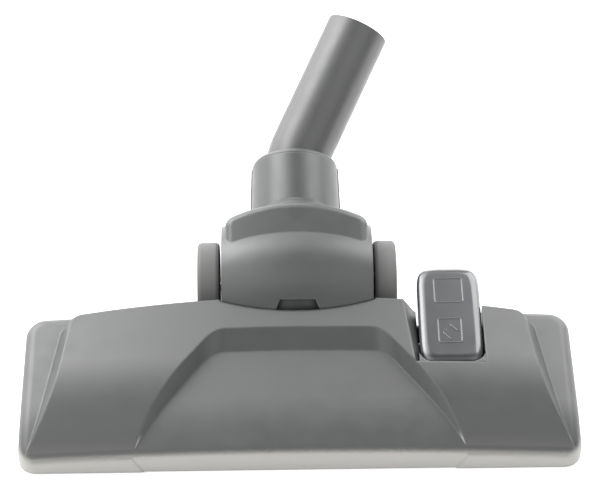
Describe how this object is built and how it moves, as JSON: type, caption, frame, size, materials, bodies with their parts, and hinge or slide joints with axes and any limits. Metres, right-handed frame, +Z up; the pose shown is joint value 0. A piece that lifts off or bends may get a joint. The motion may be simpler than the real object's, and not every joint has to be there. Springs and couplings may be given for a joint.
{
  "type": "vacuum floor brush head",
  "caption": "Wide vacuum floor head with a foot pedal that lowers a brush, rear wheels, a tilting neck and a bent swivel tube with a wand socket.",
  "frame": {"origin": "middle of the sole, in the plane of the floor", "axes": "+X to the right along the width of the head, +Y to the rear where the neck is, +Z up"},
  "size_m": [0.2958, 0.2598, 0.1184],
  "materials": {
    "body_plastic": "satin moulded grey",
    "pedal_plastic": "smooth dark grey",
    "inner_plastic": "plain black moulding",
    "sole_plastic": "polished by use",
    "hub_plastic": "moulded",
    "tyre_rubber": "matte tread",
    "steel": "zinc plated",
    "bristle": "fine fibres",
    "pile": "short pile",
    "felt": "felt"
  },
  "bodies": {
    "head": {"top_cover": "body_plastic", "lower_housing": "inner_plastic", "channel_cover": "inner_plastic", "sole_plate": "sole_plastic", "lint_strips_front": "pile", "lint_strips_rear": "pile", "sole_screws": "steel", "pedal_pin": "steel", "pedal_spring": "steel", "brush_spring_left": "steel", "brush_spring_right": "steel", "axle_pin_left": "steel", "axle_pin_right": "steel"},
    "brush": {"brush_carrier": "inner_plastic", "front_bristles": "bristle", "rear_bristles": "bristle"},
    "pedal": {"pedal": "pedal_plastic"},
    "neck": {"neck_front_shell": "body_plastic", "neck_rear_shell": "body_plastic", "neck_screws": "steel", "swivel_seal": "felt"},
    "tube": {"swivel_tube": "body_plastic"},
    "wheel_left": {"wheel_tyre_left": "tyre_rubber", "wheel_hub_left": "hub_plastic", "wheel_cap_left": "hub_plastic"},
    "wheel_right": {"wheel_tyre_right": "tyre_rubber", "wheel_hub_right": "hub_plastic", "wheel_cap_right": "hub_plastic"}
  },
  "joints": [
    {"name": "neck_tilt", "type": "hinge", "parent": "head", "child": "neck", "pos_m": [0, 0.071, 0.025], "axis": [1, 0, 0], "range_deg": [0, 55]},
    {"name": "neck_swivel", "type": "hinge", "parent": "neck", "child": "tube", "pos_m": [0, 0.071, 0.025], "axis": [0, 0.9063, 0.4226], "range_deg": [-95, 95]},
    {"name": "pedal_rock", "type": "hinge", "parent": "head", "child": "pedal", "pos_m": [0.0818, 0.02, 0.028], "axis": [-1, 0, 0], "range_deg": [0, 15], "deforming": ["pedal_spring"]},
    {"name": "brush_lift", "type": "slide", "parent": "head", "child": "brush", "axis": [0, 0, -1], "range_m": [0, 0.00495], "deforming": ["brush_spring_left", "brush_spring_right"]},
    {"name": "wheel_left_spin", "type": "hinge", "parent": "head", "child": "wheel_left", "pos_m": [-0.0485, 0.071, 0.025], "axis": [1, 0, 0], "continuous": true},
    {"name": "wheel_right_spin", "type": "hinge", "parent": "head", "child": "wheel_right", "pos_m": [0.0485, 0.071, 0.025], "axis": [1, 0, 0], "continuous": true}
  ],
  "couplings": [
    {"joint": "brush_lift", "follows": "pedal_rock", "m_per_rad": 0.01878}
  ]
}
